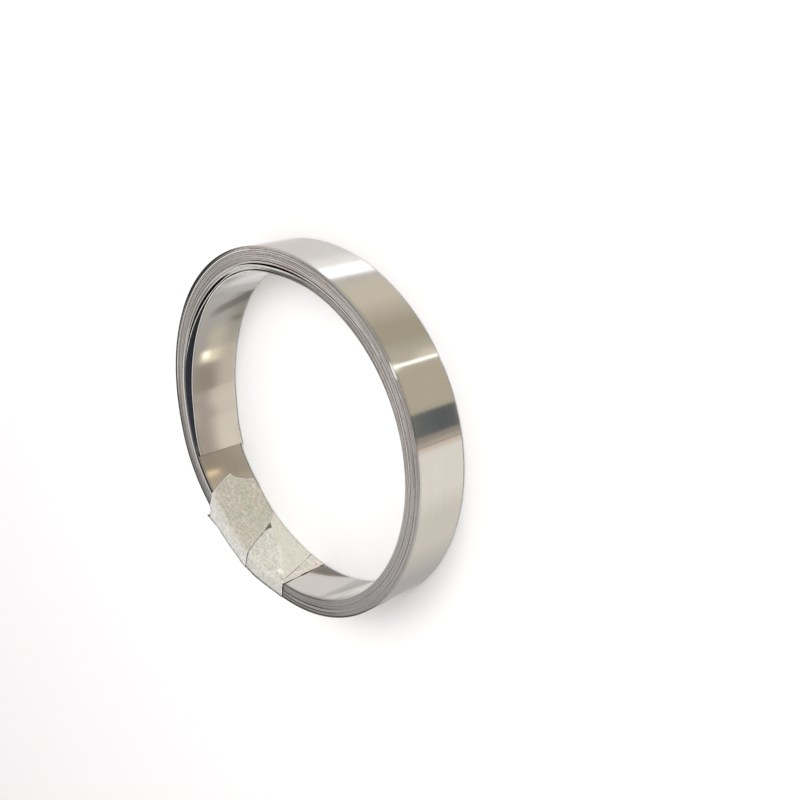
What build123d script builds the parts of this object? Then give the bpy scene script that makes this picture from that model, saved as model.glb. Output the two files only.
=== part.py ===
"""Coil of bare nickel strip with the two bands of paper tape that keep it from springing open.

Millimetres, +Z up. The coil lies on its end, with the axis of its bore along Z, and the origin
is the centre of the bore, halfway up the strip's width. Places round the coil are angles counted
anticlockwise from +X, as seen from above.
"""

from build123d import *
from math import asin, cos, degrees, radians, sin, tan
import os

# Nickel strip
strip_width = 10.0
strip_thickness = 0.15

# Winding: one slack turn inside, then the tight turns
bore_radius = 29.7
tight_turns = 20
air_between_turns = 0.0125
slack_turn_gap = 0.40
slack_gap_depth = 3.0

# Rounded strip edges leave a small valley between one turn and the next
valley_width = 0.05
valley_depth = 0.08

# Paper tape: the under band ends at the start angle, and the over band laps its other edge
tape_width = 12.0
tape_thickness = 0.10
tape_start_angle = 265.1
band_lap = 0.6
over_band_skew = 29.0
tape_slab_margin = 2.0

# Sizes that follow
half_width = strip_width / 2
turn_pitch = strip_thickness + air_between_turns
first_tight_radius = bore_radius + strip_thickness + slack_turn_gap
rim_radius = first_tight_radius + tight_turns * turn_pitch
middle_radius = (bore_radius + rim_radius) / 2

# Middles of the two bands, from the tape's own edges
half_tape = tape_width / 2
skewed_half_tape = half_tape / cos(radians(over_band_skew))
skew_drop = half_width * tan(radians(over_band_skew))
under_band_angle = tape_start_angle - degrees(asin(half_tape / rim_radius))
under_band_reach = degrees(asin(half_tape / middle_radius))
over_band_reach = degrees(asin((skewed_half_tape + skew_drop) / middle_radius))
lap_angle = degrees(band_lap / middle_radius)
over_band_angle = under_band_angle - under_band_reach - over_band_reach + lap_angle


def ring(low_radius, high_radius, low_z, high_z):
    """A plain ring about the Z axis, between two radii and two heights."""
    section = Rectangle(high_radius - low_radius, high_z - low_z, align=Align.MIN)
    return revolve(Plane.XZ * Pos(low_radius, low_z) * section, Axis.Z)


def valleys():
    """The valleys between the tight turns, on both ends of the coil."""
    cuts = []
    for side in (-1, 1):
        end_z = side * half_width
        floor_z = side * (half_width - valley_depth)
        for turn in range(1, tight_turns):
            radius = first_tight_radius + turn * turn_pitch
            inner = (radius - valley_width / 2, end_z)
            outer = (radius + valley_width / 2, end_z)
            outline = Polyline(inner, outer, (radius, floor_z), close=True)
            cuts.append(revolve(Plane.XZ * make_face(outline), Axis.Z))
    return cuts


def slack_gaps():
    """The open gap between the slack inner turn and the tight ones, on both ends of the coil."""
    low_radius = bore_radius + strip_thickness
    bottom_gap = ring(low_radius, first_tight_radius, -half_width, slack_gap_depth - half_width)
    top_gap = ring(low_radius, first_tight_radius, half_width - slack_gap_depth, half_width)
    return [bottom_gap, top_gap]


def coil():
    """The wound strip as one turned ring, whose turns show on its two ends."""
    body = ring(bore_radius, rim_radius, -half_width, half_width)
    return body - slack_gaps() - valleys()


def section_ring(layers):
    """The coil's plain ring, grown on every side by some layers of tape."""
    grow = layers * tape_thickness
    return ring(bore_radius - grow, rim_radius + grow, -half_width - grow, half_width + grow)


def wrap(layers):
    """A closed wrapping of tape round the coil's section, some layers thick."""
    return section_ring(layers) - section_ring(0)


def band_slab(angle, skew, thickness):
    """The slab that a tape fills where it crosses the coil, turned on by its skew at the top."""
    outward = Vector(cos(radians(angle)), sin(radians(angle)), 0)
    forward = Vector(-sin(radians(angle)), cos(radians(angle)), 0)
    place = Plane(origin=outward * middle_radius, x_dir=outward, z_dir=forward)
    depth = rim_radius - bore_radius + 2 * tape_slab_margin
    length = 2 * (strip_width + tape_slab_margin)
    return place * Rot(-skew, 0, 0) * Box(depth, length, thickness)


def under_band():
    """The square-on band, flat on the strip."""
    return wrap(1) & band_slab(under_band_angle, 0, tape_width)


def over_band():
    """The skewed band, which climbs over the edge of the other one by one layer of tape."""
    slab = band_slab(over_band_angle, over_band_skew, tape_width)
    step = band_slab(under_band_angle, 0, tape_width + 2 * tape_thickness)
    flat = wrap(1) & slab
    raised = wrap(2) & slab & step
    return (flat + raised) - under_band()


nodes = {
    "nickel_strip_coil": coil(),
    "under_tape_band": under_band(),
    "over_tape_band": over_band(),
}

os.makedirs("parts", exist_ok=True)
for name, shape in nodes.items():
    export_step(shape, f"parts/{name}.step")

print(f"rim radius {rim_radius:.3f} mm, bore radius {bore_radius:.3f} mm")
print(f"band middles at {under_band_angle:.1f} and {over_band_angle:.1f} degrees")
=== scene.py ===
# %% [markdown]
# A coil of bright nickel strip, lying on its end, with the two bands of paper tape that hold its turns.
# The construction takes the rim's radius and the strip's width from the imported frame.
# Here each plain CAD solid is replaced by what the eye sees: one long strip wound on itself, and creased
# paper.

# %% Load the frame and keep its box
import math

import bpy
import numpy as np
from mathutils import Matrix, Vector, noise


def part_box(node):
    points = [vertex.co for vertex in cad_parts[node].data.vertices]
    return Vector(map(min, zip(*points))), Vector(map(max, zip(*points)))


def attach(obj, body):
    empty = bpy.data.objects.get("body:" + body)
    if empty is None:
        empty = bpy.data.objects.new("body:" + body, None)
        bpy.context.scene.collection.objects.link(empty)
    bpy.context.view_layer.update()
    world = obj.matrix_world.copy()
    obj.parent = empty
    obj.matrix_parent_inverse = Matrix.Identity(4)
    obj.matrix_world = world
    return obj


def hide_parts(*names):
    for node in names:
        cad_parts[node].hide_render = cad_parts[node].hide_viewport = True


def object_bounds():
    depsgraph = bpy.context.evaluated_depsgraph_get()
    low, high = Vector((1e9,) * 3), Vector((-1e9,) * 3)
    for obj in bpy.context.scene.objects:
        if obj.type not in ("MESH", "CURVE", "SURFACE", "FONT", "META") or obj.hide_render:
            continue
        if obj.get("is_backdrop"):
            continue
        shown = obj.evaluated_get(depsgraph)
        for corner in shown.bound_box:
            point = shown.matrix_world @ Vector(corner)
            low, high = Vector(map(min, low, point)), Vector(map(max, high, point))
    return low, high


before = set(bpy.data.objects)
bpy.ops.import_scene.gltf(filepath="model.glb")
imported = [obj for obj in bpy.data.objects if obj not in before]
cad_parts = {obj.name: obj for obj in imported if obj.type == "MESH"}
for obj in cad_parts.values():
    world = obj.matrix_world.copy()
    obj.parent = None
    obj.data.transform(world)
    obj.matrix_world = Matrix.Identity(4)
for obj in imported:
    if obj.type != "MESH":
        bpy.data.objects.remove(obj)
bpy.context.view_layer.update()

MM = 0.001
coil_low, coil_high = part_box("nickel_strip_coil")
rim_radius = (coil_high.x - coil_low.x) / 2
half_width = (coil_high.z - coil_low.z) / 2
print("rim radius", round(rim_radius / MM, 2), "mm, strip width", round(2 * half_width / MM, 2), "mm")

# %% [markdown]
# Every node tree below is written with the same few helpers, so a line of code reads like a line of
# arithmetic. feed gives a socket either a link or a plain value, put adds a node and feeds its sockets by
# name, calc is one Math node, with multiply and subtract as its commonest kinds, and map_range is one Map
# Range node. new_group makes a group whose sockets have names, which use_group places, and numbers lists
# its sockets for plain numbers.

# %% Helpers for node trees
def feed(tree, socket, value):
    if isinstance(value, bpy.types.NodeSocket):
        tree.links.new(value, socket)
    else:
        socket.default_value = value


def put(tree, kind, sockets=None, **settings):
    node = tree.nodes.new(kind)
    for name, value in settings.items():
        setattr(node, name, value)
    for name, value in (sockets or {}).items():
        feed(tree, node.inputs[name], value)
    return node


def put_in_order(tree, kind, values, settings):
    node = put(tree, kind, **settings)
    for socket, value in zip(node.inputs, values):
        feed(tree, socket, value)
    return node.outputs[0]


def calc(tree, operation, *values, **settings):
    return put_in_order(tree, "ShaderNodeMath", values, {"operation": operation, **settings})


def multiply(tree, first, second):
    return calc(tree, "MULTIPLY", first, second)


def subtract(tree, first, second):
    return calc(tree, "SUBTRACT", first, second)


def map_range(tree, *values, **settings):
    return put_in_order(tree, "ShaderNodeMapRange", values, settings)


def smooth_rise(tree, value, low, high, height):
    return map_range(tree, value, low, high, 0.0, height, interpolation_type="SMOOTHSTEP")


# %% Helpers for node groups
def numbers(**values):
    return [(name.replace("_", " "), "NodeSocketFloat", value) for name, value in values.items()]


def new_group(name, kind, inputs, outputs):
    tree = bpy.data.node_groups.new(name, kind)
    for socket_name, socket_type, value in inputs:
        socket = tree.interface.new_socket(socket_name, in_out="INPUT", socket_type=socket_type)
        if value is not None:
            socket.default_value = value
    for socket_name, socket_type in outputs:
        tree.interface.new_socket(socket_name, in_out="OUTPUT", socket_type=socket_type)
    return tree, tree.nodes.new("NodeGroupInput").outputs, tree.nodes.new("NodeGroupOutput").inputs


def use_group(tree, group, **values):
    suffix = {"GeometryNodeTree": "GeometryNodeGroup", "ShaderNodeTree": "ShaderNodeGroup"}[group.bl_idname]
    sockets = {name.replace("_", " "): value for name, value in values.items()}
    return put(tree, suffix, sockets, node_tree=group).outputs


# %% [markdown]
# The strip is one length of metal, so it is made as one path and not as twenty rings. Angles follow the
# winding, clockwise seen from above, from +X. The path's radius grows by one pitch a turn. Where the
# inner turns are slack they fall inwards by a soft window: nothing at its ends, full height in its
# middle. A group holds that window, because the recessed turns on the end faces use it too.

# %% The soft window, a group used by the path
soft_window, given, result = new_group(
    "Soft window", "GeometryNodeTree", numbers(Value=0.0, Middle=0.0, Half=1.0, Height=1.0),
    [("Result", "NodeSocketFloat")])
away = calc(soft_window, "ABSOLUTE", subtract(soft_window, given["Value"], given["Middle"]))
share = calc(soft_window, "MINIMUM", calc(soft_window, "DIVIDE", away, given["Half"]), 1.0)
wave = calc(soft_window, "COSINE", multiply(soft_window, share, math.pi))
soft = calc(soft_window, "MULTIPLY_ADD", wave, 0.5, 0.5)
feed(soft_window, result["Result"], multiply(soft_window, soft, given["Height"]))

# %% [markdown]
# What makes this coil this coil: how far out of round it is, where turns hang slack, which turns sit
# lower than their neighbours on the end face, and how the tail lifts off the pack under the tape. Lengths
# are in millimetres, angles in degrees. A gap's turn is the turn outside it, so every turn further in
# shifts by that gap.

# %% The coil's own shape
strip_thickness = 0.15
winding_pitch = 0.1525
start_angle = 156.0
end_angle = 7696.5
step_angle = 1.5
edge_rounding = 0.02
edge_wander = 0.045
wander_rate = 2.3
wander_detail = 3.0
wander_seed = 4.7
out_of_round = [(2, 31.5, 0.508), (3, -27.1, 0.180), (4, -33.8, 0.085)]
low_left_bulge = (156.0, 20.0, 0.32)
inner_end_slack = (146.0, 24.0)
left_slack = (185.5, 52.0)
outer_left_slack = (195.9, 64.3)
upper_left_slack = (222.0, 42.0)
inner_top_slack = (252.0, 34.0)
dark_top_slack = (268.0, 28.0)
top_slack = (271.6, 68.3)
right_slack = (312.0, 56.0)
slack_gaps = [(1, left_slack, 2.20), (2, inner_end_slack, 0.40), (20, outer_left_slack, 0.14),
              (2, upper_left_slack, 0.60), (4, upper_left_slack, 0.16), (7, upper_left_slack, 0.08),
              (10, upper_left_slack, 0.12), (14, upper_left_slack, 0.10), (18, upper_left_slack, 0.14),
              (1, inner_top_slack, 0.28), (5, dark_top_slack, 0.40), (2, top_slack, 0.06),
              (3, top_slack, 0.06), (7, top_slack, 0.12), (9, top_slack, 0.06), (11, top_slack, 0.06),
              (13, top_slack, 0.06), (16, top_slack, 0.07), (18, top_slack, 0.07)]
slack_gaps += [(outside_turn, right_slack, 0.08) for outside_turn in range(1, 6)]
wide_seams = [(8.2, 0.035), (15.2, 0.035)]
seam_half = 0.5
low_turns = [(7.9, 0.10), (14.8, 0.13), (19.4, 0.09)]
low_turn_half = 0.75
tail_lift = (95.0, 115.0, 0.9)
tail_spring = (128.0, 8.4, 1.45)
last_turn = 21


def add_up(tree, terms):
    total = terms[0]
    for term in terms[1:]:
        total = calc(tree, "ADD", total, term)
    return total


# %% [markdown]
# The tree draws a line of points, sends each to its place on the spiral, and sweeps the strip's section
# along it. It could be done with a screw modifier, but then the slack turns, the lift of the tail and the
# small wander of the edges would each need a hand-made mesh. In a tree they are terms of one sum.

# %% Geometry Nodes: the wound strip
winding, given, result = new_group(
    "Wound strip", "GeometryNodeTree",
    numbers(Rim_Radius=rim_radius, Strip_Width=2 * half_width, Strip_Thickness=strip_thickness * MM,
            Pitch=winding_pitch * MM, Start_Angle=start_angle, End_Angle=end_angle, Step_Angle=step_angle,
            Edge_Rounding=edge_rounding * MM, Edge_Wander=edge_wander * MM, Seed=wander_seed)
    + [("Face", "NodeSocketMaterial", None), ("Slit Edge", "NodeSocketMaterial", None)],
    [("Mesh", "NodeSocketGeometry")])
winding.is_modifier = True

span = subtract(winding, given["End Angle"], given["Start Angle"])
count = calc(winding, "ADD", calc(winding, "DIVIDE", span, given["Step Angle"]), 1.0)
line = put(winding, "GeometryNodeCurvePrimitiveLine").outputs["Curve"]
points = put(winding, "GeometryNodeResampleCurve", {"Curve": line, "Count": count}, mode="COUNT")

index = put(winding, "GeometryNodeInputIndex").outputs[0]
angle = calc(winding, "MULTIPLY_ADD", index, given["Step Angle"], given["Start Angle"])
turns = calc(winding, "DIVIDE", angle, 360.0)
turn = calc(winding, "FLOOR", turns)
around = multiply(winding, calc(winding, "FRACT", turns), 360.0)
radians = calc(winding, "RADIANS", angle)

# %% The radius at each point, as a sum
def window(value, middle, half, height):
    sockets = use_group(winding, soft_window, Value=value, Middle=middle, Half=half, Height=height * MM)
    return sockets["Result"]


seen_pitches = calc(winding, "DIVIDE", subtract(winding, given["End Angle"], angle), 360.0)
air = subtract(winding, given["Pitch"], given["Strip Thickness"])
grown = multiply(winding, multiply(winding, seen_pitches, given["Pitch"]), -1.0)
terms = [given["Rim Radius"], multiply(winding, air, 0.5), grown]
for lobes, peak, height in out_of_round:
    phase = calc(winding, "RADIANS", subtract(winding, angle, peak))
    bulge = calc(winding, "COSINE", multiply(winding, phase, lobes))
    terms.append(multiply(winding, bulge, height * MM))
terms.append(window(around, *low_left_bulge))
for outside_turn, (middle, half), height in slack_gaps:
    inside = calc(winding, "LESS_THAN", turn, outside_turn - 0.5)
    terms.append(multiply(winding, window(around, middle, half, -height), inside))
for middle, height in wide_seams:
    terms.append(smooth_rise(winding, turns, middle + seam_half, middle - seam_half, -height * MM))

# %% The lift of the tail, in the last turn
in_last_turn = calc(winding, "GREATER_THAN", turn, last_turn - 0.5)
low, high, height = tail_lift
lift = smooth_rise(winding, around, low, high, height * MM)
begin, reach, height = tail_spring
past_begin = calc(winding, "MAXIMUM", subtract(winding, around, begin), 0.0)
beyond = calc(winding, "DIVIDE", past_begin, reach)
spring = multiply(winding, calc(winding, "POWER", beyond, 2.0), height * MM)
terms.append(multiply(winding, calc(winding, "ADD", lift, spring), in_last_turn))
radius = add_up(winding, terms)

# %% The small rise and fall of the turns, and the points' places
wander_at = calc(winding, "MULTIPLY_ADD", turns, wander_rate, given["Seed"])
wander = put(winding, "ShaderNodeTexNoise", {"W": wander_at, "Detail": wander_detail},
             noise_dimensions="1D")
swing = multiply(winding, subtract(winding, wander.outputs[0], 0.5), 2.0)
heights = [multiply(winding, swing, given["Edge Wander"])]
heights += [window(turns, middle, low_turn_half, -depth) for middle, depth in low_turns]
x = multiply(winding, radius, calc(winding, "COSINE", radians))
y = multiply(winding, radius, calc(winding, "SINE", radians))
place = put(winding, "ShaderNodeCombineXYZ",
            {"X": x, "Y": multiply(winding, y, -1.0), "Z": add_up(winding, heights)}).outputs[0]
moved = put(winding, "GeometryNodeSetPosition", {"Geometry": points.outputs["Curve"], "Position": place})

# %% [markdown]
# Two measures travel with the points as named attributes, because the materials need them: which turn
# this is, and how far along the strip in metres. The faces keep a third one, which is 1 where they look
# away from the bore. The section is a rectangle with small round corners. Its long edges are marked
# sharp, so that the wide face stays a true mirror and doesn't blend into the corners.

# %% The section swept along the points
corner_points = 2
sharp_angle = math.radians(20.0)
edge_slope = 0.3


def remember(tree, geometry, name, value, domain="POINT"):
    sockets = {"Geometry": geometry, "Name": name, "Value": value}
    return put(tree, "GeometryNodeStoreNamedAttribute", sockets, data_type="FLOAT", domain=domain).outputs[0]


path = remember(winding, moved.outputs["Geometry"], "turns", turns)
path = remember(winding, path, "along", multiply(winding, radians, radius))
level = put(winding, "GeometryNodeSetCurveNormal", {"Curve": path}, mode="Z_UP")
section = put(winding, "GeometryNodeCurvePrimitiveQuadrilateral",
              {"Width": given["Strip Thickness"], "Height": given["Strip Width"]}, mode="RECTANGLE")
corners = put(winding, "GeometryNodeFilletCurve",
              {"Curve": section.outputs["Curve"], "Count": corner_points, "Radius": given["Edge Rounding"]},
              mode="POLY")
swept = put(winding, "GeometryNodeCurveToMesh",
            {"Curve": level.outputs["Curve"], "Profile Curve": corners.outputs["Curve"], "Fill Caps": True})

# %% Sharp edges, outward faces and the two materials
bend = put(winding, "GeometryNodeInputMeshEdgeAngle").outputs["Unsigned Angle"]
sharp = calc(winding, "GREATER_THAN", bend, sharp_angle)
crisp = put(winding, "GeometryNodeSetShadeSmooth",
            {"Geometry": swept.outputs["Mesh"], "Selection": sharp, "Shade Smooth": False}, domain="EDGE")
normal = put(winding, "GeometryNodeInputNormal").outputs[0]
upward = put(winding, "ShaderNodeSeparateXYZ", {0: normal}).outputs["Z"]
on_edge = calc(winding, "GREATER_THAN", calc(winding, "ABSOLUTE", upward), edge_slope)
position = put(winding, "GeometryNodeInputPosition").outputs[0]
from_bore = put(winding, "ShaderNodeVectorMath", {0: normal, 1: position}, operation="DOT_PRODUCT")
outward = calc(winding, "GREATER_THAN", from_bore.outputs["Value"], 0.0)
sided = remember(winding, crisp.outputs["Geometry"], "outward", outward, domain="FACE")
real = put(winding, "GeometryNodeRealizeInstances", {0: sided})
faced = put(winding, "GeometryNodeSetMaterial", {"Geometry": real.outputs[0], "Material": given["Face"]})
edged = put(winding, "GeometryNodeSetMaterial",
            {"Geometry": faced.outputs["Geometry"], "Selection": on_edge, "Material": given["Slit Edge"]})
feed(winding, result["Mesh"], edged.outputs["Geometry"])
print("the strip's tree:", len(winding.nodes), "nodes")

# %% [markdown]
# Materials come next, because the tree hands them out. Rolled strip has streaks that run its whole
# length, and slit edges and tape have streaks of their own, so one group makes streaks for all three. It
# returns a mask only; the shader stays in the material.

# %% Shared effects: streaks and specks
streak_detail = 4.0
speck_detail = 1.0
speck_middle = 0.75
speck_sharpness = 12.0

streaks, given, result = new_group(
    "Streaks", "ShaderNodeTree", numbers(Along=0.0, Across=0.0, Length=0.05, Width=0.0003, Seed=0.0),
    [("Mask", "NodeSocketFloat")])
along = calc(streaks, "DIVIDE", given["Along"], given["Length"])
across = calc(streaks, "DIVIDE", given["Across"], given["Width"])
spot = put(streaks, "ShaderNodeCombineXYZ", {"X": along, "Y": across, "Z": given["Seed"]}).outputs[0]
grain = put(streaks, "ShaderNodeTexNoise", {"Vector": spot, "Scale": 1.0, "Detail": streak_detail})
feed(streaks, result["Mask"], grain.outputs[0])

specks, given, result = new_group(
    "Specks", "ShaderNodeTree", numbers(Size=0.0003, Amount=0.1, Seed=0.0), [("Mask", "NodeSocketFloat")])
where = put(specks, "ShaderNodeTexCoord").outputs["Object"]
scale = calc(specks, "DIVIDE", 1.0, given["Size"])
dots = put(specks, "ShaderNodeTexNoise",
           {"Vector": where, "W": given["Seed"], "Scale": scale, "Detail": speck_detail},
           noise_dimensions="4D")
edge_value = subtract(specks, speck_middle, given["Amount"])
past = subtract(specks, dots.outputs[0], edge_value)
feed(specks, result["Mask"], calc(specks, "MULTIPLY", past, speck_sharpness, use_clamp=True))

# %% Helpers for materials
noise_range = (0.3, 0.7)


def new_material(name):
    material = bpy.data.materials.new(name)
    material.use_nodes = True
    tree = material.node_tree
    return material, tree, tree.nodes["Principled BSDF"]


def read(tree, name, output="Fac"):
    return put(tree, "ShaderNodeAttribute", attribute_name=name).outputs[output]


def object_place(tree, axis):
    where = put(tree, "ShaderNodeTexCoord").outputs["Object"]
    return put(tree, "ShaderNodeSeparateXYZ", {0: where}).outputs[axis]


def blend(tree, factor, first, second, **settings):
    return put(tree, "ShaderNodeMix", {"Factor": factor, "A": first, "B": second}, data_type="RGBA",
               **settings).outputs["Result"]


def times(tree, first, second):
    return blend(tree, 1.0, first, second, blend_type="MULTIPLY")


def between(tree, value, low, high, soft):
    """A mask that is 1 from low to high, with soft ends outside them."""
    rise = smooth_rise(tree, value, low - soft, low, 1.0)
    return subtract(tree, rise, smooth_rise(tree, value, high, high + soft, 1.0))


def spread(tree, value, low, high):
    """A noise value stretched from its usual range to low and high."""
    return map_range(tree, value, *noise_range, low, high)


def streak_masks(tree, along, across, *kinds):
    """One mask for each length, width and seed."""
    used = [use_group(tree, streaks, Along=along, Across=across, Length=length, Width=width, Seed=seed)
            for length, width, seed in kinds]
    return [outputs["Mask"] for outputs in used]


def relief(tree, shader, height, strength, depth):
    bump = put(tree, "ShaderNodeBump", {"Height": height, "Strength": strength, "Distance": depth * MM})
    feed(tree, shader.inputs["Normal"], bump.outputs["Normal"])


# %% [markdown]
# The wide face is bright cold-rolled nickel: a warm metal, nearly a mirror, a little blurred along the
# strip by the rolls' own grain. Its colour and its blur both follow the streaks. Towards the near edge its
# colour is darkened as painted shade, where the edge turns over. Two places get painted shade and a
# blue-black painted reflection, with less metal: the wall inside the slack turn's gap, and the near
# corner of the tail's tip, on its inner side.

# %% Material: the strip's bright face
nickel_colour = np.array((0.66, 0.61, 0.53))
darker_nickel = (0.645, 0.595, 0.515, 1.0)
lighter_nickel = (0.675, 0.63, 0.55, 1.0)
edge_shade_colour = (0.34, 0.30, 0.26, 1.0)
painted_edge_shade = (4.35 * MM, 5.0 * MM, 0.45)
gap_shade_colour = (0.085, 0.092, 0.115, 1.0)
shade_metal_cover = 0.8
painted_shade_gap = (1.45, 1.83, 0.02)
painted_shade_tip = (21.366, 21.40, 0.004)
tip_shade_corner = (2.4 * MM, 3.4 * MM, 1.0)

nickel_face, tree, shader = new_material("nickel_bright_face")
depth_place = object_place(tree, "Z")
fine, broad = streak_masks(tree, read(tree, "along"), depth_place, (0.08, 0.0004, 0.0), (0.02, 0.004, 5.0))
both = multiply(tree, calc(tree, "ADD", fine, broad), 0.5)
rolled = blend(tree, spread(tree, both, 0.0, 1.0), darker_nickel, lighter_nickel)
# Painted shade: the face's colour darkens towards the near edge, where the edge turns over.
rolled = blend(tree, smooth_rise(tree, depth_place, *painted_edge_shade), rolled, edge_shade_colour)
# Painted shade and a blue-black painted reflection: the slack turn's gap wall and the tail tip's inner near
# corner.
in_gap, on_tip = (between(tree, read(tree, "turns"), *stretch) for stretch in (painted_shade_gap, painted_shade_tip))
inward = subtract(tree, 1.0, read(tree, "outward"))
in_corner = multiply(tree, inward, smooth_rise(tree, depth_place, *tip_shade_corner))
painted_shade = calc(tree, "MULTIPLY_ADD", on_tip, in_corner, in_gap)
feed(tree, shader.inputs["Base Color"], blend(tree, painted_shade, rolled, gap_shade_colour))
feed(tree, shader.inputs["Roughness"], spread(tree, both, 0.07, 0.11))
feed(tree, shader.inputs["Metallic"], subtract(tree, 1.0, multiply(tree, painted_shade, shade_metal_cover)))
relief(tree, shader, fine, strength=0.04, depth=0.02)

# %% [markdown]
# The slit edge is duller and greyer than the face, because the shears tear it. Each turn's edge has its
# own tone, and bands of turns share a broader one, with dark specks and faint brown runs, so the end of
# the coil shows its turns from far off. The slack turn's edge and a few others carry a painted highlight,
# and small painted glints sit on three outer turns. Shaded stretches and dark lines along some gaps
# between turns are painted shade. Some stretches of the outer turns are darker, and a few inner ones on
# top lighter. Low on the left the outer turns darken one after the other. At the foot, higher on the left
# and on top the turns look more alike. An alike part is a stretch of the turn with its soft ends, a
# strength and a colour. A dark part also says between which turns it sets in. Over all of it, the edges
# are painted lighter towards the top and darker towards the foot, as painted light from above.

# %% The slit edge's tones, by turn and by the share of a turn
dark_metal = (0.17, 0.165, 0.16, 1.0)
light_metal = (0.76, 0.72, 0.70, 1.0)
turn_weight = 0.20
run_weight = 0.38
band_weight = 0.62
tone_offset = 0.10
alike_foot = ((0.02, 0.165, 0.035), 0.75, (0.53, 0.505, 0.49, 1.0))
alike_upper_left = ((0.54, 0.68, 0.05), 0.50, (0.34, 0.33, 0.325, 1.0))
alike_top = ((0.70, 0.85, 0.05), 0.40, (0.53, 0.505, 0.49, 1.0))
dark_lower_left = ((9.0, 20.0, 0.8), (0.38, 0.46, 0.09), (0.12, 0.118, 0.118, 1.0))
dark_inner_top = ((6.5, 3.5, 0.35), (0.765, 0.81, 0.03), (0.33, 0.32, 0.315, 1.0))
brown_colour = (0.36, 0.27, 0.25, 1.0)
brown_runs = (-2.0, 0.9)
brown_run_strength = 0.5
brown_top = (0.72, 0.80, 0.06)
brown_top_strength = 0.35
marked_turns = [
    # Painted highlight: bright lines on these turns' edges.
    ("painted_highlight", 0.02, (0.86, 0.84, 0.80, 1.0),
     [(0.60, 0.70), (1.545, 1.63), (4.37, 4.56), (5.37, 5.53), (17.52, 17.70)]),
    ("lighter", 0.04, (0.68, 0.665, 0.65, 1.0), [(1.66, 1.75), (2.66, 2.75), (3.66, 3.75), (4.66, 4.75)]),
    ("shaded", 0.03, (0.20, 0.195, 0.19, 1.0),
     [(1.45, 1.53), (2.37, 2.53), (3.37, 3.53), (2.21, 2.26), (1.21, 1.26), (0.745, 0.775), (1.745, 1.785),
      (2.75, 2.78)]),
    ("dusky", 0.04, (0.32, 0.31, 0.30, 1.0), [(17.80, 17.92), (18.79, 18.94), (19.80, 19.87)]),
    ("darker", 0.05, (0.13, 0.125, 0.12, 1.0), [(21.15, 21.40), (20.36, 20.44), (20.17, 20.26)]),
    # Painted shade: thin dark lines where gaps between turns fall in shade.
    ("gap_shade_lines", 0.04, (0.06, 0.058, 0.055, 1.0),
     [(18.61, 18.65), (19.61, 19.67), (20.61, 20.68), (11.22, 11.26), (16.21, 16.26)]),
    ("glint", 0.004, (1.0, 0.99, 0.95, 1.0),
     [(0.433, 0.60), (18.906, 18.911), (19.904, 19.912), (20.903, 20.912)]),
]
dirt_colour = (0.08, 0.07, 0.07, 1.0)
dirt_strength = 0.7
foot_painted_shade = (0.70, 0.71, 0.72, 1.0)
top_painted_light = (1.30, 1.28, 1.27, 1.0)

# %% Material: the strip's slit edge
slit_edge, tree, shader = new_material("nickel_slit_edge")
turns_here = read(tree, "turns")
turn_here = calc(tree, "FLOOR", turns_here)
share_round = calc(tree, "FRACT", turns_here)
turn_tone = put(tree, "ShaderNodeTexWhiteNoise", {"W": turn_here}, noise_dimensions="1D").outputs["Value"]
run_tone, band_tone, brown_run = streak_masks(
    tree, read(tree, "along"), turns_here, (0.006, 1.2, 0.0), (0.040, 3.6, 7.0), (0.005, 0.8, 3.0))
tone = calc(tree, "MULTIPLY_ADD", turn_tone, turn_weight, multiply(tree, run_tone, run_weight))
tone = calc(tree, "MULTIPLY_ADD", band_tone, band_weight, subtract(tree, tone, tone_offset))
metal = blend(tree, spread(tree, tone, 0.0, 1.0), dark_metal, light_metal)
for shares, strength, colour in (alike_foot, alike_upper_left, alike_top):
    alike = multiply(tree, between(tree, share_round, *shares), strength)
    metal = blend(tree, alike, metal, colour)
for turn_rise, shares, colour in (dark_lower_left, dark_inner_top):
    dark_turn = smooth_rise(tree, turn_here, *turn_rise)
    dark_part = multiply(tree, dark_turn, between(tree, share_round, *shares))
    metal = blend(tree, dark_part, metal, colour)
brown = multiply(tree, spread(tree, brown_run, *brown_runs), brown_run_strength)
brown = calc(tree, "MULTIPLY_ADD", between(tree, share_round, *brown_top), brown_top_strength, brown)
metal = blend(tree, calc(tree, "MAXIMUM", brown, 0.0, use_clamp=True), metal, brown_colour)
for _, soft, colour, stretches in marked_turns:
    for low, high in stretches:
        metal = blend(tree, between(tree, turns_here, low, high, soft), metal, colour)
dirt = use_group(tree, specks, Size=0.0004, Amount=0.07, Seed=2.0)["Mask"]
metal = blend(tree, multiply(tree, dirt, dirt_strength), metal, dirt_colour)
# Painted light and shade: the slit edges are lighter towards the top and darker towards the foot, as if lit
# from above.
painted_light_height = map_range(tree, object_place(tree, "Y"), -rim_radius, rim_radius, 0.0, 1.0)
feed(tree, shader.inputs["Base Color"], times(tree, metal, blend(tree, painted_light_height, foot_painted_shade, top_painted_light)))
feed(tree, shader.inputs["Roughness"], spread(tree, run_tone, 0.32, 0.5))
shader.inputs["Metallic"].default_value = 1.0
relief(tree, shader, use_group(tree, specks, Size=0.0001, Amount=0.4)["Mask"], strength=0.3, depth=0.02)
print("stretches on the slit edge:", {name: len(stretches) for name, _, _, stretches in marked_turns})

# %% Run the tree and keep the result as a plain mesh
def set_input(modifier, name, value):
    for item in modifier.node_group.interface.items_tree:
        if item.item_type == "SOCKET" and item.in_out == "INPUT" and item.name == name:
            modifier[item.identifier] = value


def new_piece(name, mesh):
    piece = bpy.data.objects.new(name, mesh)
    bpy.context.scene.collection.objects.link(piece)
    return piece


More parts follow.
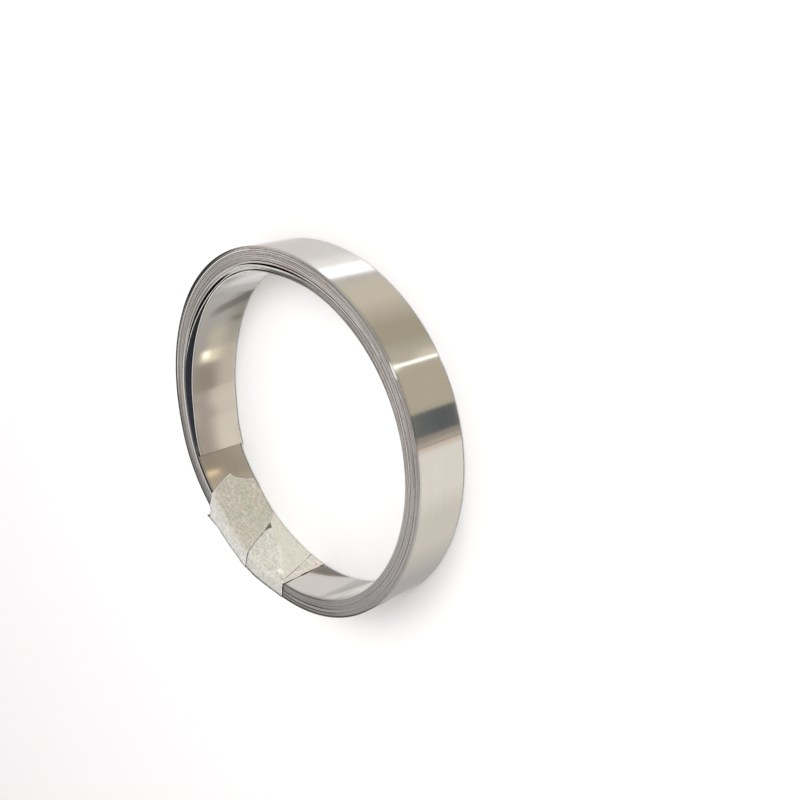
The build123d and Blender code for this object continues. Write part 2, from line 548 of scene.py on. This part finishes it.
def made_plain(piece):
    graph = bpy.context.evaluated_depsgraph_get()
    finished = piece.evaluated_get(graph)
    mesh = bpy.data.meshes.new_from_object(finished, preserve_all_data_layers=True, depsgraph=graph)
    piece.modifiers.clear()
    piece.data = mesh
    mesh.name = piece.name
    return piece


def count_triangles(piece):
    piece.data.calc_loop_triangles()
    return len(piece.data.loop_triangles)


strip = new_piece("wound_nickel_strip", bpy.data.meshes.new("wound_nickel_strip"))
modifier = strip.modifiers.new("Wound strip", "NODES")
modifier.node_group = winding
set_input(modifier, "Face", nickel_face)
set_input(modifier, "Slit Edge", slit_edge)
made_plain(strip)
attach(strip, "root")
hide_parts("nickel_strip_coil")
print("wound strip:", count_triangles(strip), "triangles in", len(strip.data.materials), "materials")

# %% [markdown]
# The tape lies on the coil, so it needs the coil's real outline. The finished strip is measured: at each
# angle the smallest radius is the bore's wall and the largest is the rim. Both are kept as functions of
# the angle.

# %% Measure the finished strip
spots = np.zeros(len(strip.data.vertices) * 3)
strip.data.vertices.foreach_get("co", spots)
spots = spots.reshape(-1, 3)
turn_of = np.zeros(len(spots), np.float32)
strip.data.attributes["turns"].data.foreach_get("value", turn_of)
spot_radius = np.hypot(spots[:, 0], spots[:, 1])
spot_step = np.rint(np.degrees(np.arctan2(-spots[:, 1], spots[:, 0])) % 360.0 / step_angle).astype(int)
steps = int(360.0 / step_angle)
spot_step %= steps


def outline(chosen, pick, empty):
    found = np.full(steps, empty)
    pick.at(found, spot_step[chosen], spot_radius[chosen])
    return found


bore_wall = outline(turn_of >= 0, np.minimum, 1.0)
rim_wall = outline(turn_of >= 0, np.maximum, 0.0)
pack_wall = outline(turn_of < last_turn, np.maximum, 0.0)
ring_angles = np.arange(steps) * step_angle


def radius_at(wall, angle):
    return np.interp(np.asarray(angle, float) % 360.0, ring_angles, wall, period=360.0)


def flat_place(radius, angle, height=0.0):
    turned_angle = math.radians(angle)
    return Vector((radius * math.cos(turned_angle), -radius * math.sin(turned_angle), height))


print("bore", round(2 * bore_wall.min() / MM, 2), "to", round(2 * bore_wall.max() / MM, 2), "mm across,",
      "rim up to", round(2 * rim_wall.max() / MM, 2), "mm")

# %% [markdown]
# Each band is paper tape wound round the ring's section, so a point on it has two numbers. The wrap
# counts the sides that the tape passes: 0 to 1 up the bore, 1 to 2 out over the near end, 2 to 3 down the
# rim, 3 to 4 back under the far end. The second number is the ring angle. A sheet is then a grid between
# two edges, and an edge is a short list of places. Cloth simulation could drape it, but the tape is pulled
# tight and stuck.

# %% Places on the section, side by side
clearance = 0.03 * MM
corner_share = 0.02
side_starts = [-1.0, 0.0, 1.0, 2.0, 3.0, 4.0]
side_lengths = [-4.0 * MM, 0.0, 10.0 * MM, 14.0 * MM, 24.0 * MM, 28.0 * MM]
tail_free_from = 134.5
tail_free_to = 137.5


def smooth(low, high, value):
    share = np.clip((np.asarray(value, float) - low) / (high - low), 0.0, 1.0)
    return share * share * (3.0 - 2.0 * share)


def tape_outside(angle):
    free = smooth(tail_free_from, tail_free_to, angle)
    return radius_at(rim_wall, angle) * (1.0 - free) + radius_at(pack_wall, angle) * free


def on_section(wrap, angle, lift):
    """Places above the coil's section at a height called lift, as rows of x, y, z."""
    side = np.floor(wrap)
    share = wrap - side
    inner = radius_at(bore_wall, angle)
    outer = tape_outside(angle)
    top = half_width + clearance
    sides = [side % 4 == k for k in range(4)]
    crossed = (outer - inner) * share
    radial = np.select(sides, [inner, inner + crossed, outer, outer - crossed])
    axial = np.select(sides, [-top + 2 * top * share, top, top - 2 * top * share, -top])
    corner = np.floor(wrap + 0.5)
    passed = corner - 0.5 + 0.5 * np.clip((wrap - corner) / corner_share, -1.0, 1.0)
    lean = np.radians(180.0 - 90.0 * passed)
    radial = radial + lift * np.cos(lean)
    axial = axial + lift * np.sin(lean)
    turned_angle = np.radians(angle)
    return np.stack([radial * np.cos(turned_angle), -radial * np.sin(turned_angle), axial], axis=-1)


# %% [markdown]
# Creped paper is never flat. Fine wrinkles run across the tape's length, softer ones cross them, and the
# edges curl a little off what they lie on, which gives each edge its thin dark line. All of it is real
# displacement. Thin paper also takes some tone of what lies under it, so each sheet is given its tones by
# place. Those tones also hold painted shade, along the rim and beside the over band's lower edge, and
# painted highlights along the flap's upper edge and in a glint at its lower end.

# %% One sheet of tape as a grid
grid_step = 0.135 * MM
paper_thickness = 0.08 * MM
crepe_height = 0.035 * MM
crepe_size = 0.22 * MM
crepe_stretch = (1.0, 0.35, 1.0)
soft_height = 0.07 * MM
soft_size = 2.2 * MM
ragged_size = 0.5 * MM
fray_size = 0.9 * MM
curl_width = 0.8 * MM
usual_curl = 0.8
pressed_flat = 0.4
fold_share = 0.05
thread_range = (-0.25, 0.25)
least_fray = 0.25


def rough(places, scale, seed):
    return np.array([noise.noise(Vector(p) / scale + Vector((seed, 2.0 * seed, 0.0))) for p in places])


def tape_sheet(start, stop, upper_edge, lower_edge, lift, tone, seed, ragged=0.12, curls=(0.05, 0.1),
               white=(0.06, 0.17), coarse=1.0):
    """Vertices, faces and per-vertex measures of a sheet between two edges given as (wrap, ring angle).

    curls are how far the upper and the lower edge stand off what they lie on, in millimetres, white is
    where the edges' painted white, of core and highlight, fades out, and coarse is how strongly the
    fibres show.
    """
    lengths = np.arange(*np.interp([start, stop], side_starts, side_lengths), grid_step)
    wrap = np.interp(lengths, side_lengths, side_starts)
    widest = max(a for _, a in upper_edge) - min(a for _, a in lower_edge)
    columns = int(math.radians(widest) * rim_radius / grid_step)
    across = np.linspace(0.0, 1.0, columns)
    line_places = np.stack([lengths, lengths * 0.0, lengths * 0.0], axis=-1)
    upper = np.interp(wrap, *zip(*upper_edge)) + ragged * rough(line_places, ragged_size, seed)
    lower = np.interp(wrap, *zip(*lower_edge)) + ragged * rough(line_places, ragged_size, seed + 9.0)
    angle = (upper[:, None] * (1.0 - across) + lower[:, None] * across).ravel()
    wrap = np.repeat(wrap, columns)
    length = np.repeat(lengths, columns)
    arc = np.radians(angle) * rim_radius
    sheet_places = np.stack([length, arc, np.full_like(arc, seed)], axis=-1)
    crepe = rough(sheet_places * crepe_stretch, crepe_size, seed)
    soft = rough(sheet_places, soft_size, seed + 5.0)
    share = np.tile(across, len(lengths))
    width = np.radians(np.repeat(upper - lower, columns)) * rim_radius
    from_upper = share * width
    from_lower = (1.0 - share) * width
    height = lift(wrap, angle) + crepe_height * crepe + soft_height * np.maximum(soft, 0.0)
    for curl, distance in zip(curls, (from_upper, from_lower)):
        height += curl * MM * (1.0 - smooth(0.0, curl_width, distance)) * np.maximum(usual_curl + soft, 0.0)
    far_end = smooth(3.0 - fold_share, 3.0 + fold_share, wrap) + 1.0 - smooth(-fold_share, fold_share, wrap)
    height *= 1.0 - pressed_flat * far_end
    threads = smooth(*thread_range, rough(sheet_places, fray_size, seed + 7.0))
    broken = least_fray + (1.0 - least_fray) * threads
    # The edges are painted white: the paper's core, and a painted highlight where they catch the light.
    fray = broken * (1.0 - smooth(*white, np.minimum(from_upper, from_lower) / MM))
    rows = np.arange(len(lengths) - 1)[:, None] * columns
    first = (rows + np.arange(columns - 1)).ravel()
    faces = np.stack([first, first + 1, first + columns + 1, first + columns], axis=-1)
    measures = {"along": length, "across": arc, "fray": fray, "coarse": np.full_like(arc, coarse)}
    return on_section(wrap, angle, height), faces, measures, tone(wrap, angle)


def tape_piece(name, sheets, material):
    places, faces, measures, tones = zip(*sheets)
    bases = np.cumsum([0] + [len(spots) for spots in places[:-1]])
    quads = np.concatenate([sheet + base for sheet, base in zip(faces, bases)])
    mesh = bpy.data.meshes.new(name)
    mesh.from_pydata(np.concatenate(places).tolist(), [], quads.tolist())
    for key in measures[0]:
        values = np.concatenate([sheet[key] for sheet in measures]).astype(np.float32)
        mesh.attributes.new(key, "FLOAT", "POINT").data.foreach_set("value", values)
    colours = np.concatenate(tones)
    colours = np.column_stack([colours, np.ones(len(colours))]).astype(np.float32)
    mesh.attributes.new("paper", "FLOAT_COLOR", "POINT").data.foreach_set("color", colours.ravel())
    mesh.shade_smooth()
    mesh.materials.append(material)
    piece = new_piece(name, mesh)
    paper = piece.modifiers.new("Paper thickness", "SOLIDIFY")
    paper.thickness = paper_thickness
    paper.offset = 0.0
    return made_plain(piece)


# %% [markdown]
# Masking paper is matt and made of long pale fibres. Its colour starts from the sheet's own tone, and two
# sizes of mottle and a slow drift between green and pink lie over it. A cut edge is painted white: the
# white of the paper's core, and a painted highlight where the edge catches the light.

# %% Material: creped masking paper
white_core_and_highlight = (0.84, 0.83, 0.80, 1.0)
plain = (1.0, 1.0, 1.0, 1.0)
paper_tape, tree, shader = new_material("creped_paper_tape")
fibres, flecks, drift = streak_masks(tree, read(tree, "across"), read(tree, "along"), (0.0011, 0.0007, 1.0),
                                     (0.0004, 0.0003, 2.0), (0.0034, 0.0026, 4.0))
paper = read(tree, "paper", "Color")
for mask, dark, light in ((fibres, (0.81, 0.83, 0.79, 1.0), (1.16, 1.15, 1.15, 1.0)),
                          (flecks, (0.78, 0.78, 0.76, 1.0), (1.18, 1.18, 1.18, 1.0)),
                          (drift, (0.91, 0.95, 0.92, 1.0), (1.07, 1.035, 1.04, 1.0))):
    mottled = blend(tree, spread(tree, mask, 0.0, 1.0), dark, light)
    paper = times(tree, paper, blend(tree, read(tree, "coarse"), plain, mottled))
# Painted white edge: paper core and painted highlight.
feed(tree, shader.inputs["Base Color"], blend(tree, read(tree, "fray"), paper, white_core_and_highlight))
shader.inputs["Roughness"].default_value = 0.62
shader.inputs["Specular IOR Level"].default_value = 0.35
relief(tree, shader, fibres, strength=0.4, depth=0.03)

# %% [markdown]
# The under band is one sheet all the way round, with a smoother flap that comes over the far rim and
# narrows to a point. The over band lies beside it and over its upper edge on the two ends and the rim;
# its own free end is cut off inside the bore, with a peak.

# %% The outlines of the two bands and the flap
under_upper = [(-0.3, 125.0), (0.0, 121.5), (0.20, 120.0), (0.25, 119.6), (0.44, 119.45), (0.60, 118.8),
               (0.84, 117.0), (1.0, 116.2), (1.2, 116.6), (2.0, 116.6), (3.0, 127.0), (4.0, 127.0)]
under_lower = [(-0.3, 93.6), (0.0, 93.6), (0.25, 93.5), (0.67, 93.1), (0.98, 92.7), (1.0, 92.7),
               (1.01, 93.5), (2.0, 94.1), (3.0, 93.6), (4.0, 93.6)]
flap_upper = [(-0.5, 125.2), (0.0, 124.9), (0.202, 122.0), (0.247, 119.6), (0.282, 117.2), (0.336, 113.6),
              (0.483, 107.8), (0.705, 102.3), (0.838, 99.0), (0.90, 96.6), (0.926, 94.9)]
flap_lower = [(-0.5, 101.5), (0.0, 101.2), (0.446, 97.8), (0.814, 95.4), (0.926, 94.8)]
over_upper = [(-0.3, 137.0), (0.0, 137.1), (0.02, 139.5), (0.05, 141.2), (0.21, 142.0), (0.41, 143.9),
              (0.49, 146.0), (0.69, 144.5), (0.905, 142.3), (1.0, 141.3), (2.0, 137.7), (2.1, 132.5),
              (3.0, 134.0), (4.0, 137.0)]
over_lower = [(-0.3, 125.0), (0.0, 124.9), (0.20, 122.2), (0.445, 119.5), (0.595, 118.1), (0.84, 115.8),
              (0.98, 114.3), (1.02, 113.9), (1.27, 113.9), (1.65, 113.6), (2.0, 113.3), (3.0, 124.0),
              (4.0, 125.0)]
full_round = (-0.3, 3.95)
flap_round = (-0.5, 0.925)

# %% The under band
first_lift = 0.06 * MM
next_lift = 0.16 * MM
second_round = 3.6
climb_share = 0.1


def under_lift(wrap, angle):
    return first_lift + (next_lift - first_lift) * smooth(second_round, second_round + climb_share, wrap)


def flap_lift(wrap, angle):
    return np.full_like(wrap, next_lift)


def mixed(first, second, share):
    return np.asarray(first) + (np.asarray(second) - np.asarray(first)) * np.asarray(share)[:, None]


face_begins = (0.85, 1.5)
rim_shade_place = 1.95
rim_shade_width = 0.07


def rounded_tone(bore_tone, end_face_tone, wrap, rim_shade):
    """The bore's tone turning into the end face's, with a painted shade line where the tape meets the rim.
    """
    tone = mixed(bore_tone, end_face_tone, smooth(*face_begins, wrap))
    # Painted shade: a dark line where the tape turns over the rim, away from the light.
    line = np.exp(-((wrap - rim_shade_place) / rim_shade_width) ** 2) * rim_shade
    return tone * (1.0 - line)[:, None]


under_face_tone = (0.54, 0.53, 0.515)
under_bore_tone = (0.665, 0.64, 0.595)
single_layer_tone = (0.685, 0.63, 0.58)
single_layer_ends = (96.5, 99.0)
under_rim_shade = 0.88
flap_tone = (0.66, 0.64, 0.565)
ridge_highlight_strength = 0.17
ridge_width = 1.3
ridge_starts = (0.25, 0.45)
ridge_ends = (0.80, 0.92)
glint_tone = (1.0, 0.98, 0.91)
glint_place = (0.835, 99.2)
glint_size = (0.05, 1.5)
lap_shade_depth = 0.75
lap_shade_place = 0.05
lap_shade_width = 0.20


def with_painted_highlights(tone, wrap, angle):
    """The tone with a painted highlight along the flap's upper edge, and a painted glint at its lower end.
    """
    from_ridge = (angle - np.interp(wrap, *zip(*flap_upper))) / ridge_width
    # Painted highlight: a light band along the flap's upper edge.
    ridge_highlight = ridge_highlight_strength * np.exp(-from_ridge ** 2) * smooth(*ridge_starts, wrap)
    ridge_highlight *= 1.0 - smooth(*ridge_ends, wrap)
    near_glint = (((wrap - glint_place[0]) / glint_size[0]) ** 2
                  + ((angle - glint_place[1]) / glint_size[1]) ** 2)
    return mixed(tone * (1.0 + ridge_highlight)[:, None], glint_tone, np.exp(-near_glint))


def under_tone(wrap, angle):
    bore_tone = mixed(single_layer_tone, under_bore_tone, smooth(*single_layer_ends, angle))
    below_lap = np.interp(wrap, *zip(*over_lower)) - angle
    lap_shade = lap_shade_depth * np.exp(-((below_lap - lap_shade_place) / lap_shade_width) ** 2)
    tone = rounded_tone(bore_tone, under_face_tone, wrap, under_rim_shade)
    return with_painted_highlights(tone, wrap, angle) * (1.0 - lap_shade)[:, None]


def flap_tones(wrap, angle):
    return with_painted_highlights(np.tile(flap_tone, (len(wrap), 1)), wrap, angle)


under_sheets = [
    tape_sheet(*full_round, under_upper, under_lower, under_lift, under_tone, seed=1.0, curls=(0.03, 0.07)),
    tape_sheet(*flap_round, flap_upper, flap_lower, flap_lift, flap_tones, seed=2.0, ragged=0.05,
               curls=(0.03, 0.08), white=(0.0, 0.16), coarse=0.45)]
under_tape = tape_piece("under_tape", under_sheets, paper_tape)

# %% The over band
climb = (0.2, 1.0)
over_bore_tone = (0.54, 0.50, 0.443)
over_face_tone = (0.61, 0.60, 0.595)
over_rim_shade = 0.5


def over_lift(wrap, angle):
    under_edge = np.interp(wrap, *zip(*under_upper))
    on_top = 1.0 - smooth(under_edge - climb[0], under_edge + climb[1], angle)
    again = smooth(second_round, second_round + climb_share, wrap)
    return first_lift + (next_lift - first_lift) * (on_top + again)


def over_tone(wrap, angle):
    return rounded_tone(over_bore_tone, over_face_tone, wrap, over_rim_shade)


over_sheet = tape_sheet(*full_round, over_upper, over_lower, over_lift, over_tone, seed=3.0,
                        curls=(0.08, 0.14))
over_tape = tape_piece("over_tape", [over_sheet], paper_tape)

for piece, node in ((under_tape, "under_tape_band"), (over_tape, "over_tape_band")):
    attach(piece, "root")
    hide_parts(node)
    print(piece.name, count_triangles(piece), "triangles")

# %% [markdown]
# The camera stands where the photographer's stood, turned with the coil: the coil is stored lying on its
# end, and the picture was taken with it standing on its rim, so +Y is up in the picture.

# %% The camera
camera_place = rim_radius * Vector((4.242, 2.078, 3.435))
camera_forward = Vector((-0.6748, -0.3333, -0.6585)).normalized()
picture_up = Vector((0.0, 1.0, 0.0))
camera_right = camera_forward.cross(picture_up).normalized()
camera_up = camera_right.cross(camera_forward)
camera_data = bpy.data.cameras.new("camera")
camera_data.lens = 49.0
camera_data.sensor_width = 36.0
camera_data.clip_start = 0.01
camera = bpy.data.objects.new("camera", camera_data)
turned = Matrix((camera_right, camera_up, -camera_forward)).transposed().to_4x4()
camera.matrix_world = Matrix.Translation(camera_place) @ turned
bpy.context.scene.collection.objects.link(camera)
bpy.context.scene.camera = camera

# %% [markdown]
# Bright metal shows its room more than itself. The world gives two answers: plain white to everything
# matt, and to the metal a pale room whose walls change with the direction. A wall is named by the place
# on the rim where the camera meets it, and a mirror turns the view by twice the angle of its surface. Its
# tone is the one that the nickel should show there, from 0 to 255 on the screen, and looks_like works out
# the light that gives it. Metal seen at a glancing angle mirrors more, and more whitely, so it asks how
# squarely the wall faces the camera.

# %% Where the camera looks by way of the metal
slope_reach = 0.75


def clear_of_inner_end(angle):
    """The nearest angle whose neighbours lie on one turn, as the bore steps at the strip's inner end."""
    if start_angle - step_angle - slope_reach < angle < start_angle:
        return start_angle - step_angle - slope_reach
    if start_angle <= angle < start_angle + slope_reach:
        return start_angle + slope_reach
    return angle


def mirror_ray(wall, angle, height=0.0):
    """The point on a wall, which way the camera sees by mirroring there, and how squarely it faces."""
    clear = clear_of_inner_end(angle)
    radius = float(radius_at(wall, clear))
    rise = float(radius_at(wall, clear + slope_reach) - radius_at(wall, clear - slope_reach)) / 2
    before = flat_place(radius - rise, angle - slope_reach)
    after = flat_place(radius + rise, angle + slope_reach)
    normal = (after - before).cross(Vector((0.0, 0.0, 1.0))).normalized()
    point = flat_place(radius, angle, height)
    view = (point - camera_place).normalized()
    return point, view.reflect(normal), abs(view.dot(normal))


def looks_like(tone, facing):
    """The light that nickel has to mirror to show this tone of red, green and blue on the screen."""
    linear = ((np.asarray(tone, float) / 255.0 + 0.055) / 1.055) ** 2.4
    return linear / (nickel_colour + (1.0 - nickel_colour) * (1.0 - facing) ** 5)


def wall_stop(angle, tone):
    """Where on the compass the camera sees the room by way of the rim, as a share, and the light there."""
    seen, facing = mirror_ray(rim_wall, angle)[1:]
    return math.atan2(seen.y, seen.x) / (2 * math.pi) % 1.0, tuple(looks_like(tone, facing))


# %% The room that the metal mirrors
room_walls = [
    ("white wall", 243.0, 254.5, (246, 245, 241)),
    ("grey blind", 263.0, 281.0, (209, 204, 200)),
    ("window frame", 286.0, 287.8, (230, 225, 221)),
    ("window", 289.4, 292.3, (300, 300, 305)),
    ("curtain edge", 294.3, 295.6, (186, 178, 170)),
    ("curtain", 299.0, 305.0, (192, 183, 165)),
    ("brown shelf", 314.0, 319.0, (160, 152, 133)),
    ("light wood", 323.0, 325.0, (177, 169, 151)),
    ("wood", 328.0, 337.5, (172, 163, 143)),
    ("dark doorway", 346.0, 346.8, (135, 127, 117)),
    ("door frame", 348.7, 349.4, (188, 178, 163)),
    ("pale wall", 350.4, 362.0, (216, 209, 197)),
    ("warm wall", 370.0, 379.0, (199, 192, 181)),
    ("grey corner", 393.0, 402.0, (171, 167, 164)),
    ("pale corner", 406.0, 417.0, (184, 179, 175)),
]
ceiling = (0.86, 0.85, 0.83, 1.0)
ceiling_slopes = (-0.3, 0.35)
matt_light = (0.80, 0.79, 0.775, 1.0)
world = bpy.data.worlds.new("soft studio")
world.use_nodes = True
bpy.context.scene.world = world
tree = world.node_tree
tree.nodes.clear()
seen_from = put(tree, "ShaderNodeTexCoord").outputs["Generated"]
direction = put(tree, "ShaderNodeSeparateXYZ", {0: seen_from}).outputs
heading = calc(tree, "ARCTAN2", direction["Y"], direction["X"])
compass = calc(tree, "FRACT", calc(tree, "DIVIDE", heading, 2 * math.pi))
room = put(tree, "ShaderNodeValToRGB", {"Fac": compass})
stops = sorted(wall_stop(angle, tone) for _, start, stop, tone in room_walls for angle in (start, stop))
join_colour = (np.array(stops[0][1]) + stops[-1][1]) / 2
for element in room.color_ramp.elements:
    element.color = (*join_colour, 1.0)
for position, colour in stops:
    room.color_ramp.elements.new(position).color = (*colour, 1.0)
ceiling_share = map_range(tree, direction["Z"], *ceiling_slopes, 0.0, 1.0)
mirrored = blend(tree, ceiling_share, room.outputs["Color"], ceiling)
glossy = put(tree, "ShaderNodeLightPath").outputs["Is Glossy Ray"]
background = put(tree, "ShaderNodeBackground", {"Color": blend(tree, glossy, matt_light, mirrored)})
put(tree, "ShaderNodeOutputWorld", {"Surface": background.outputs[0]})
print(len(room.color_ramp.elements), "stops in the mirrored room")

# %% [markdown]
# The far walls give the broad tones. What stands close to the coil shows in it with clear edges, such as
# a dark opening or a thin gap of light, so it is a card: a small sheet that glows, under the floor, where
# only mirrored rays go. A card is drawn on the metal, as the stretch of the bore or the rim that it
# should fill, and each of its points is carried out along the camera's mirrored ray. Seen from elsewhere
# it is one more thing in the room.

# %% The cards' own finish
card_finish = bpy.data.materials.new("reflector_card")
card_finish.use_nodes = True
card_finish.cycles.emission_sampling = "NONE"
tree = card_finish.node_tree
tree.nodes.clear()
glow = put(tree, "ShaderNodeEmission", {"Color": read(tree, "shade", "Color")}).outputs[0]
clear = put(tree, "ShaderNodeBsdfTransparent").outputs[0]
faded = put(tree, "ShaderNodeMixShader", {0: read(tree, "cover"), 1: clear, 2: glow})
put(tree, "ShaderNodeOutputMaterial", {"Surface": faded.outputs[0]})

# %% One card, drawn on a wall of the coil
card_columns = 25
card_rows = 17
full_height = (5.6, -5.6)
card_count = {"bore": 0, "rim": 0}


def soft_edge(share, width):
    return float(smooth(0.0, width, share)) if width else 1.0


def two_tones(tones):
    return np.array(tones if isinstance(tones[0], tuple) else (tones, tones), float)


def card(side, stretch, near_tones, far_tones=None, heights=full_height, change=(0.0, 1.0),
         soft=(0, 0, 0, 0), reach=60.0):
    """A card with a tone in each corner, over a stretch of ring angles.

    stretch is its start and stop, and its far edge's start and stop where they differ. heights are where
    the near and far edges lie on the strip's width, change is where between them the near tones turn into
    the far ones, and soft is how much of the card fades out at its start, stop, near and far edges. Where
    cards overlap, the one of smaller reach is in front.
    """
    wall = bore_wall if side == "bore" else rim_wall
    far_tones = two_tones(far_tones or near_tones)
    near_tones = two_tones(near_tones)
    places, shades, covers = [], [], []
    for down in np.linspace(0.0, 1.0, card_rows):
        start, stop = (a + (b - a) * down for a, b in zip(stretch[:2], stretch[-2:]))
        height = (heights[0] + (heights[1] - heights[0]) * down) * MM
        tones = near_tones + (far_tones - near_tones) * float(smooth(*change, down))
        for over in np.linspace(0.0, 1.0, card_columns):
            point, ray, facing = mirror_ray(wall, start + (stop - start) * over, height)
            places.append(point + ray * reach * MM)
            shades.append((*looks_like(tones[0] + (tones[1] - tones[0]) * over, facing), 1.0))
            covers.append(soft_edge(over, soft[0]) * soft_edge(1.0 - over, soft[1])
                          * soft_edge(down, soft[2]) * soft_edge(1.0 - down, soft[3]))
    first = (np.arange(card_rows - 1)[:, None] * card_columns + np.arange(card_columns - 1)).ravel()
    quads = np.stack([first, first + 1, first + card_columns + 1, first + card_columns], axis=-1)
    card_count[side] += 1
    name = f"{side}_card_{card_count[side]}"
    mesh = bpy.data.meshes.new(name)
    mesh.from_pydata(places, [], quads.tolist())
    mesh.attributes.new("shade", "FLOAT_COLOR", "POINT").data.foreach_set("color", np.ravel(shades))
    mesh.attributes.new("cover", "FLOAT", "POINT").data.foreach_set("value", covers)
    mesh.materials.append(card_finish)
    sheet = new_piece(name, mesh)
    sheet.visible_camera = sheet.visible_diffuse = sheet.visible_shadow = False
    sheet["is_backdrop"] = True


# %% What the rim mirrors from close by
card("rim", (322.4, 325.6, 322.0, 325.6), (205, 195, 175), heights=(0.5, -5.6), soft=(0.7, 0, 0.5, 0))
card("rim", (325.4, 326.5), (300, 298, 286), soft=(0.3, 0.3, 0, 0), reach=58.0)
card("rim", (323.8, 328.8, 325.0, 327.0), (285, 280, 264), heights=(5.6, 3.7), soft=(0.45, 0.5, 0, 0.6),
     reach=56.0)
card("rim", (339.0, 346.3), (98, 100, 97), (84, 85, 88), soft=(0.14, 0.1, 0, 0.02), reach=58.0)
card("rim", (348.2, 348.8), (150, 135, 120), soft=(0.3, 0.3, 0, 0), reach=58.0)
card("rim", (348.9, 349.5), (208, 186, 172), soft=(0.3, 0.3, 0, 0), reach=58.0)
card("rim", (402.0, 428.0, 407.0, 428.0), (135, 131, 128), (199, 194, 190), change=(0.15, 0.6),
     soft=(0.3, 0, 0, 0))

# %% What the bore mirrors from close by
card("bore", (67.6, 94.0), (206, 200, 195))
card("bore", (50.0, 67.6), (217, 213, 208))
card("bore", (66.0, 84.0), (165, 160, 154), heights=(5.6, 4.0), soft=(0.1, 0.3, 0, 0.5), reach=58.0)
card("bore", (93.2, 94.0, 77.0, 94.0), (124, 114, 104), (116, 111, 104), heights=(-0.9, -5.6),
     soft=(0.05, 0, 0, 0), reach=58.0)
card("bore", (114.0, 122.5), (112, 107, 94))
card("bore", (141.0, 156.0), ((158, 145, 129), (138, 126, 112)), ((142, 133, 114), (164, 152, 136)))
card("bore", (146.2, 150.0, 147.2, 149.4), (255, 226, 178), heights=(5.2, 0.6),
     soft=(0.35, 0.35, 0.2, 0.5), reach=58.0)
card("bore", (156.0, 180.5, 156.0, 182.5), ((156, 146, 133), (160, 150, 139)),
     ((212, 202, 186), (198, 187, 173)), change=(0.30, 0.56))
card("bore", (180.5, 193.0, 182.5, 193.0), (148, 138, 125), (186, 175, 161), change=(0.4, 0.75))
card("bore", (180.9, 192.6, 181.2, 189.2), (141, 131, 119), heights=(5.6, -1.2),
     soft=(0.08, 0.08, 0, 0.35), reach=58.0)
card("bore", (192.4, 199.5), (150, 143, 133), (183, 172, 155), change=(0.1, 0.7))
card("bore", (192.8, 199.4, 192.8, 200.4), (222, 209, 183), heights=(3.8, -2.8),
     soft=(0.15, 0.3, 0.2, 0.5), reach=58.0)
card("bore", (194.1, 199.0), (300, 290, 265), heights=(3.2, 0.8), soft=(0.35, 0.35, 0.3, 0.4), reach=56.0)
card("bore", (199.5, 226.0), ((160, 154, 146), (172, 168, 162)), ((168, 161, 146), (120, 117, 110)),
     change=(0.45, 0.95))
card("bore", (199.5, 212.0, 199.5, 213.0), (184, 175, 156), heights=(3.4, -3.6), soft=(0, 0.5, 0.35, 0.5),
     reach=59.0)
card("bore", (212.4, 218.8, 220.2, 227.8), (134, 129, 120), (106, 103, 98), heights=(3.6, -5.6),
     soft=(0.3, 0.25, 0.25, 0), reach=58.0)
card("bore", (209.8, 213.4, 209.8, 214.4), (118, 114, 101), heights=(-1.8, -5.6),
     soft=(0.35, 0.35, 0.35, 0), reach=58.0)
card("bore", (226.0, 234.5), ((164, 159, 152), (194, 191, 183)), ((172, 171, 166), (190, 189, 184)),
     change=(0.1, 0.6))
card("bore", (234.5, 255.0), ((180, 176, 171), (168, 163, 159)), ((208, 206, 202), (205, 203, 198)),
     change=(0.1, 0.5))
print(card_count, "cards")

# %% The floor and one soft light
floor_finish, tree, shader = new_material("pale_floor")
shader.inputs["Base Color"].default_value = (0.93, 0.93, 0.94, 1.0)
shader.inputs["Roughness"].default_value = 0.9

floor_size = 3.0
floor_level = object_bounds()[0].z
floor_corners = [(x * floor_size, y * floor_size, floor_level)
                 for x, y in ((-1, -1), (1, -1), (1, 1), (-1, 1))]
floor_mesh = bpy.data.meshes.new("floor")
floor_mesh.from_pydata(floor_corners, [], [(0, 1, 2, 3)])
floor_mesh.materials.append(floor_finish)
floor = new_piece("floor", floor_mesh)
floor.visible_glossy = False
floor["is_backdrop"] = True

lamp_data = bpy.data.lights.new("soft_light", "AREA")
lamp_data.energy = 1.3
lamp_data.size = 0.30
lamp = bpy.data.objects.new("soft_light", lamp_data)
lamp_place = Vector((0.10, 0.24, 0.42))
lamp.matrix_world = Matrix.Translation(lamp_place) @ lamp_place.to_track_quat("Z", "Y").to_matrix().to_4x4()
lamp.visible_glossy = False
bpy.context.scene.collection.objects.link(lamp)
bpy.context.scene.view_settings.view_transform = "Standard"
